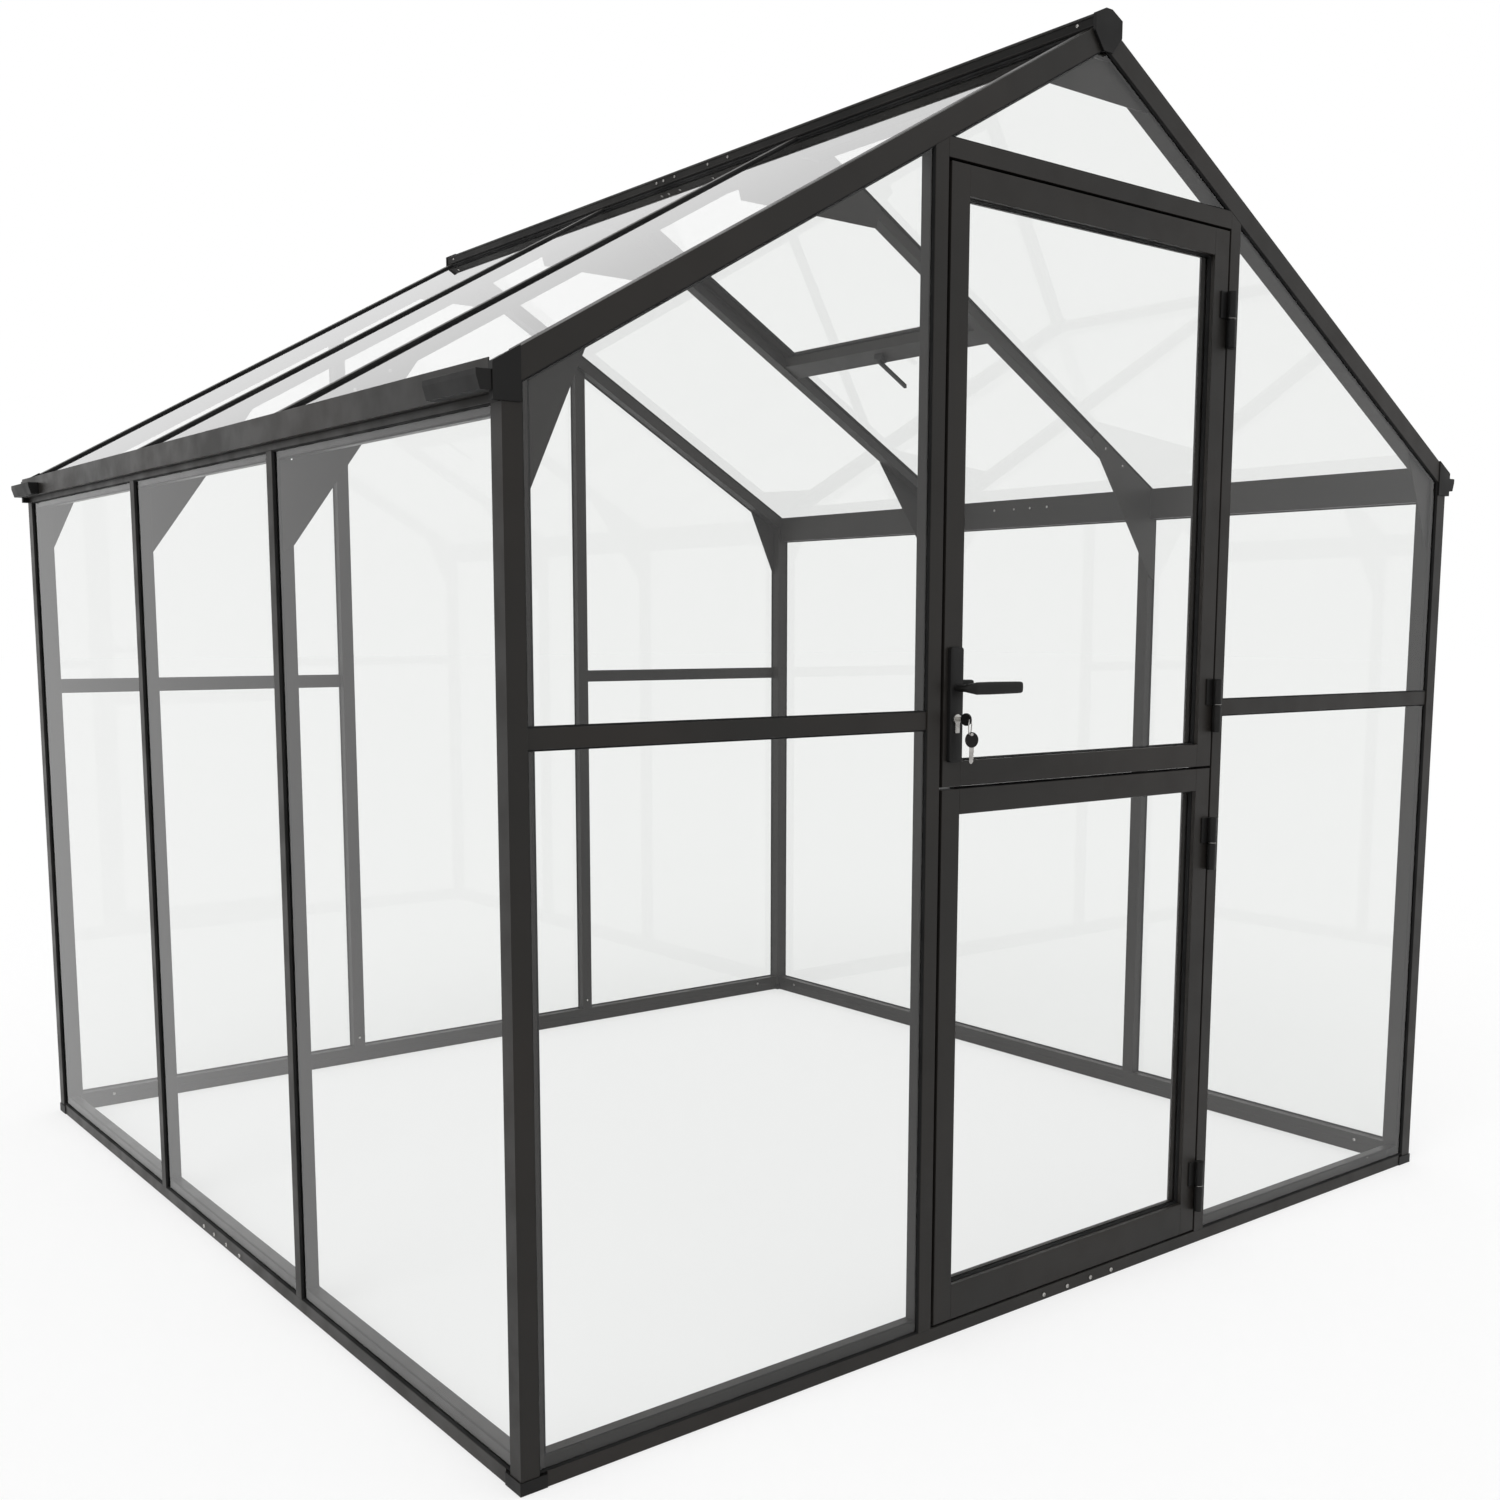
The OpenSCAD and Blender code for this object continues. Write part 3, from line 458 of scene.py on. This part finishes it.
beam = [v.co for v in NODES["eave_beams"].data.vertices]
beam_in = min(abs(c.x) for c in beam)
beam_zs = [c.z for c in beam if abs(c.x) < beam_in + 0.1 * MM]
beam_z = max(beam_zs) - EAVE_DOWN * (max(beam_zs) - min(beam_zs))
screws("eave_beam_screws", [((side * beam_in, y * MM, beam_z), X * -side) for side in SIDES
                            for y in EAVE_Y], SMALL)

plate_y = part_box("inner_plates")[1].y
screws("inner_plate_screws", [((side * x * MM, end * plate_y, z * MM), Y * end) for side in SIDES
                              for end in SIDES for x, z in PLATE_XZ], SMALL)

# Hinges: a bright washer where each pair of halves meets -------------------------------------

PIN = Vector((379.5, -1229.5, 0)) * MM
PIN_REACH, PIN_GAP = 12, 1.6  # mm: how far the pin's fittings reach, and a pair's face gap
# Radius and height in mm
WASHER = [(5.0, -0.5), (8.9, -0.5), (9.2, -0.2), (9.2, 0.2), (8.9, 0.5), (5.0, 0.5)]


def pin_heights(node):
    """The heights of a node's vertices near the hinge pins."""
    return sorted({round(v.co.z, 4) for v in NODES[node].data.vertices
                   if math.hypot(v.co.x - PIN.x, v.co.y - PIN.y) < PIN_REACH * MM})


for leaf in ("upper_leaf", "lower_leaf"):
    bm = bmesh.new()
    for z in pin_heights(leaf + "_hinge_halves"):
        if any(abs(z - other) < PIN_GAP * MM for other in pin_heights("frame_hinge_halves")):
            add_lathe(bm, Matrix.Translation((PIN.x, PIN.y, z)), WASHER, 24)
    finish_piece(bm, leaf + "_hinge_washers", leaf, steel, smooth=True)

# Ribs along the ridge cap's sides and slopes, and halfway up the base's inner faces -----------

# A rib's section: mm up the face, and mm off it
RIB = [(-1.6, -0.4), (-1.4, 0.6), (-0.5, 1.1), (0.5, 1.1), (1.4, 0.6), (1.6, -0.4)]
CAP_RIBS_Z, CAP_SHOULDER_Z = (3, 19), 22  # mm over the ridge cap's lower edge
CAP_RUN, CAP_RISE = 26, 13.6  # mm, of the ridge cap's slopes
CAP_RIB_UP = 5  # mm up the slope
BASE_RIB_Z = 23 * MM
BASE_RIB_END = 50 * MM


def add_rib(bm, start, end, up, off):
    """A rib between two points of a face, its section set out along up and off."""
    add_rings(bm, [[point + (up * a + off * b) * MM for a, b in RIB] for point in (start, end)])


bm = bmesh.new()
for side in SIDES:
    edge_x = side * ridge_high.x
    slope_up = Vector((-side * CAP_RUN, 0, CAP_RISE)).normalized()
    slope_off = Vector((side * CAP_RISE, 0, CAP_RUN)).normalized()
    shoulder = Vector((edge_x, 0, ridge_low.z + CAP_SHOULDER_Z * MM))
    feet = [(Vector((edge_x, 0, ridge_low.z + z * MM)), Z, X * side) for z in CAP_RIBS_Z]
    feet.append((shoulder + slope_up * (CAP_RIB_UP * MM), slope_up, slope_off))
    for foot, up, off in feet:
        add_rib(bm, foot + Y * (ridge_low.y + 1 * MM), foot + Y * (ridge_high.y - 1 * MM), up, off)
finish_piece(bm, "ridge_ribs", "frame", anodised)

bm = bmesh.new()
for side in SIDES:
    add_rib(bm, Vector((side * inner_x, inner_front + BASE_RIB_END, BASE_RIB_Z)),
            Vector((side * inner_x, inner_back - BASE_RIB_END, BASE_RIB_Z)), Z, X * -side)
add_rib(bm, Vector((-inner_x + BASE_RIB_END, inner_back, BASE_RIB_Z)),
        Vector((inner_x - BASE_RIB_END, inner_back, BASE_RIB_Z)), Z, -Y)
finish_piece(bm, "base_ribs", "frame", paint)

# Lock: rounded plates, a swept lever, the cylinder's key and a spare on a ring ----------------

PLATE_RADIUS, PLATE_EDGE = 5 * MM, 2 * MM
ARC_STEPS = 6
KEYHOLE_DOWN = 8.5 * MM  # below the lock cylinder's top
lock_low, lock_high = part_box("lock_plates")
cyl_low, cyl_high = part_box("lock_cylinder")
lever_low, lever_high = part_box("door_lever")
lock_x = (cyl_low.x + cyl_high.x) / 2
leaf_front, leaf_back = (end.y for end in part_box("upper_leaf_stiles"))
lever_z = (lever_low.z + lever_high.z) / 2
keyhole = Vector((lock_x, cyl_low.y, cyl_high.z - KEYHOLE_DOWN))


def rounded_outline(half_x, half_z, radius):
    """Points round a rectangle with round corners, about its middle."""
    points = []
    for cx, cz, start in ((1, 1, 0), (-1, 1, 90), (-1, -1, 180), (1, -1, 270)):
        for k in range(ARC_STEPS + 1):
            t = math.radians(start + 90 * k / ARC_STEPS)
            points.append((cx * (half_x - radius) + radius * math.cos(t),
                           cz * (half_z - radius) + radius * math.sin(t)))
    return points


def add_plate(bm, y0, y1):
    """A lock plate with round corners from y0 to y1, its outer edge at y1 rolled over."""
    centre, half = (lock_low + lock_high) / 2, (lock_high - lock_low) / 2
    sign = 1 if y1 > y0 else -1
    rings = []
    for y, inset in ((y0, 0.0), (y1 - sign * PLATE_EDGE, 0.0),
                     (y1 - sign * 0.35 * PLATE_EDGE, 0.25 * PLATE_EDGE), (y1, PLATE_EDGE)):
        outline = rounded_outline(half.x - inset, half.z - inset, PLATE_RADIUS - inset * 0.6)
        rings.append([Vector((centre.x + px, y, centre.z + pz)) for px, pz in outline])
    add_rings(bm, rings)


bm = bmesh.new()
add_plate(bm, leaf_front, lock_low.y)
add_plate(bm, leaf_back, lock_high.y)
finish_piece(bm, "rounded_lock_plates", "upper_leaf", plastic, smooth=True,
             replaces=("lock_plates",))

LEVER_BEND = 13 * MM
LEVER_POINTS = 28
GRIP_IN = 5 * MM  # from the lever's outer face to the middle of its grip
# Half thickness and half height in mm: at the neck's foot and top, and the bend's change a step
NECK_FOOT, NECK_TOP = (7.0, 6.2), (7.0, 6.4)
BEND_STEPS, BEND_STEP = 6, (-0.34, 0.72)
GRIP_SQUARE = 0.72  # power of the sine: under 1, the grip's section is squarer than an oval
# Along the grip: share of the lever's length, half thickness in mm, share of its half height
GRIP = ((0.35, 5.0, 1.0), (0.6, 5.0, 0.98), (0.85, 4.9, 0.95), (0.96, 4.7, 0.92),
        (0.99, 4.2, 0.84), (1.0, 2.2, 0.62))


def add_lever(bm, face_y, reach_y, end_x):
    """A lever swept from a round neck at face_y, through a bend, to a flat grip to end_x."""
    sign = -1 if reach_y < face_y else 1
    half_tall = (lever_high.z - lever_low.z) / 2 / MM
    grip_y = reach_y - sign * GRIP_IN
    out = Vector((0, sign, 0))
    stations = [(Vector((lock_x, face_y - sign * 2 * MM, lever_z)), out, *NECK_FOOT),
                (Vector((lock_x, grip_y - sign * LEVER_BEND, lever_z)), out, *NECK_TOP)]
    for k in range(1, BEND_STEPS + 1):
        t = math.radians(90 * k / BEND_STEPS)
        centre = Vector((lock_x + LEVER_BEND * (1 - math.cos(t)),
                         grip_y - sign * LEVER_BEND * (1 - math.sin(t)), lever_z))
        stations.append((centre, Vector((math.sin(t), sign * math.cos(t), 0)),
                         NECK_TOP[0] + BEND_STEP[0] * k, NECK_TOP[1] + BEND_STEP[1] * k))
    for share, thick, tall in GRIP:
        centre = Vector((lock_x + (end_x - lock_x) * share, grip_y, lever_z))
        stations.append((centre, X, thick, tall * half_tall))
    rings = []
    for centre, along, thick, tall in stations:
        side = Z.cross(along).normalized()
        square = GRIP_SQUARE if along.x > 0.5 else 1.0
        ring = []
        for i in range(LEVER_POINTS):
            t = 2 * math.pi * i / LEVER_POINTS
            c, s = math.cos(t), math.sin(t)
            ring.append(centre + side * (math.copysign(abs(c) ** square, c) * thick * MM)
                        + Z * (math.copysign(abs(s) ** square, s) * tall * MM))
        rings.append(ring)
    add_rings(bm, rings)


bm = bmesh.new()
add_lever(bm, lock_low.y, lever_low.y, lever_high.x)
add_lever(bm, lock_high.y, lever_high.y, lever_high.x)
finish_piece(bm, "swept_lever", "lever", plastic, smooth=True,
             replaces=("door_lever",))

# All in mm
HEAD = [(11.5 * math.cos(2 * math.pi * i / 28), 13.5 * math.sin(2 * math.pi * i / 28))
        for i in range(28)]
HEAD_THICK, BLADE_THICK = 3.4, 2.2
STUB = [(-4, 0), (-4, -12), (4, -12), (4, 0)]
BLADE = [(-4.0, 0), (-4.0, -25), (-2.0, -28.5), (0.6, -28.5), (2.4, -26), (3.2, -24), (2.0, -22),
         (3.8, -19.5), (2.6, -17), (4.0, -14.5), (2.8, -12), (4.0, -9), (4.0, 0)]
EYELET = [(2.6, 0), (2.6, 4.2)]
RING_R, WIRE_R = 15.0, 1.1
RING_STEPS, WIRE_STEPS = 48, 8
EASE = 0.965  # the rim of a key's head or blade, as a share of its outline


def add_slab(bm, place, outline, thick):
    """A flat outline in a place's XY, that thick about its middle, with its rims eased."""
    eased = [(x * EASE, y * EASE) for x, y in outline]
    levels = ((-thick / 2, eased), (-0.3 * thick, outline), (0.3 * thick, outline),
              (thick / 2, eased))
    add_rings(bm, [[place @ (Vector((x, y, h)) * MM) for x, y in points] for h, points in levels])


def key_place(centre, across, up):
    """A frame of reference with X across a key's head and Y up towards its ring."""
    back = across.cross(up)
    return Matrix.Translation(centre) @ Matrix((across, up, back)).transposed().to_4x4()


def moved(x, y, z):
    """A shift in mm."""
    return Matrix.Translation(Vector((x, y, z)) * MM)


in_lock = key_place(keyhole + Vector((0, -20, 0)) * MM, Z, -Y)
spare = key_place(keyhole + Vector((9, -25, -35)) * MM, Vector((0.79, -0.61, 0)), Z)

bm = bmesh.new()
add_slab(bm, in_lock, [(x * 0.95, y * 0.9) for x, y in HEAD], HEAD_THICK)
add_slab(bm, spare, HEAD, HEAD_THICK)
finish_piece(bm, "key_heads", "upper_leaf", plastic, smooth=True)

bm = bmesh.new()
add_slab(bm, in_lock @ moved(0, -10.5, 0), STUB, BLADE_THICK)
add_slab(bm, spare @ moved(0, -12.5, 0), BLADE, BLADE_THICK)
for key, up in ((in_lock, 8.0), (spare, 9.5)):
    add_lathe(bm, key @ moved(0, up, -2.1), EYELET, 16)
ring_plane = Vector((0.81, 0.58, 0)).normalized()
ring_side = ring_plane.cross(Z)
ring_centre = keyhole + Vector((4, -25.5, -12)) * MM
loop = []
for i in range(RING_STEPS):
    t = 2 * math.pi * i / RING_STEPS
    outward = ring_plane * math.cos(t) + Z * math.sin(t)
    centre = ring_centre + outward * (RING_R * MM)
    turns = (2 * math.pi * k / WIRE_STEPS for k in range(WIRE_STEPS))
    loop.append([bm.verts.new(centre + (outward * math.cos(w) + ring_side * math.sin(w))
                              * (WIRE_R * MM)) for w in turns])
for a, b in zip(loop, loop[1:] + loop[:1]):
    for k in range(WIRE_STEPS):
        j = (k + 1) % WIRE_STEPS
        bm.faces.new((a[k], a[j], b[j], b[k]))
finish_piece(bm, "key_blades_and_ring", "upper_leaf", steel, smooth=True)

# Camera --------------------------------------------------------------------------------------

CAMERA_PLACE = (-2.3223, -3.2036, 1.2794)
CAMERA_YAW, CAMERA_DOWN, CAMERA_ROLL = -38.725, 7.293, 0.207  # degrees

camera_data = bpy.data.cameras.new("camera")
camera_data.sensor_width = 36
camera_data.lens = 38.600
camera_data.shift_x = -0.0206
camera_data.shift_y = 0.0551
camera_data.clip_start = 0.05
camera = bpy.data.objects.new("camera", camera_data)
SCENE.collection.objects.link(camera)
camera.matrix_world = (Matrix.Translation(CAMERA_PLACE)
                       @ Matrix.Rotation(math.radians(CAMERA_YAW), 4, "Z")
                       @ Matrix.Rotation(math.radians(90 - CAMERA_DOWN), 4, "X")
                       @ Matrix.Rotation(math.radians(CAMERA_ROLL), 4, "Z"))
SCENE.camera = camera

# Floor, world and lamps ----------------------------------------------------------------------

WORLD_FILL = 0.68
FLOOR_SIZE = 120.0
FLOOR_DOWN = 0.5 * MM
FLOOR_TONE = 0.40
FLOOR_ROUGHNESS = 0.9
FLOOR_GLOW = 0.59


def seen_directly(tree):
    """1 where a camera, mirror or glass ray lands, so that all of them see the white studio."""
    rays = tree.nodes.new("ShaderNodeLightPath").outputs
    both = math_node(tree, "MAXIMUM", rays["Is Camera Ray"], rays["Is Glossy Ray"])
    return math_node(tree, "MAXIMUM", both, rays["Is Transmission Ray"])


world = bpy.data.worlds.new("studio")
SCENE.world = world
world.use_nodes = True
tree = world.node_tree
tree.nodes.clear()
out = tree.nodes.new("ShaderNodeOutputWorld")
fill = tree.nodes.new("ShaderNodeBackground")
fill.inputs["Strength"].default_value = WORLD_FILL
white = tree.nodes.new("ShaderNodeBackground")
mix = tree.nodes.new("ShaderNodeMixShader")
tree.links.new(seen_directly(tree), mix.inputs["Fac"])
for slot, background in ((1, fill), (2, white)):
    background.inputs["Color"].default_value = (1, 1, 1, 1)
    tree.links.new(background.outputs["Background"], mix.inputs[slot])
tree.links.new(mix.outputs["Shader"], out.inputs["Surface"])

mesh = bpy.data.meshes.new("floor")
half = FLOOR_SIZE / 2
mesh.from_pydata([(-half, -half, 0), (half, -half, 0), (half, half, 0), (-half, half, 0)], [],
                 [(0, 1, 2, 3)])
floor = bpy.data.objects.new("floor", mesh)
SCENE.collection.objects.link(floor)
floor.location.z = -FLOOR_DOWN
mat, tree, out = new_material("studio_floor")
shader = principled(tree, out)
shader.inputs["Base Color"].default_value = (FLOOR_TONE, FLOOR_TONE, FLOOR_TONE, 1)
shader.inputs["Roughness"].default_value = FLOOR_ROUGHNESS
shader.inputs["Specular IOR Level"].default_value = 0.0
glow = tree.nodes.new("ShaderNodeEmission")
tree.links.new(math_node(tree, "MULTIPLY", seen_directly(tree), FLOOR_GLOW),
               glow.inputs["Strength"])
add = tree.nodes.new("ShaderNodeAddShader")
tree.links.new(shader.outputs["BSDF"], add.inputs[0])
tree.links.new(glow.outputs["Emission"], add.inputs[1])
tree.links.new(add.outputs["Shader"], out.inputs["Surface"])
floor.data.materials.append(mat)


def soft_sun(name, direction, strength, spread_deg):
    """A wide sun that shines along a direction; mirrors don't show it."""
    data = bpy.data.lights.new(name, "SUN")
    data.energy = strength
    data.angle = math.radians(spread_deg)
    lamp = bpy.data.objects.new(name, data)
    lamp.rotation_euler = Vector(direction).to_track_quat("-Z", "Y").to_euler()
    lamp.visible_glossy = False
    SCENE.collection.objects.link(lamp)


soft_sun("key_sun", (0.75, 0.30, -0.75), 0.9, 40)
soft_sun("top_sun", (-0.1, 0.2, -1.0), 0.5, 60)

SCENE.view_settings.view_transform = "Standard"
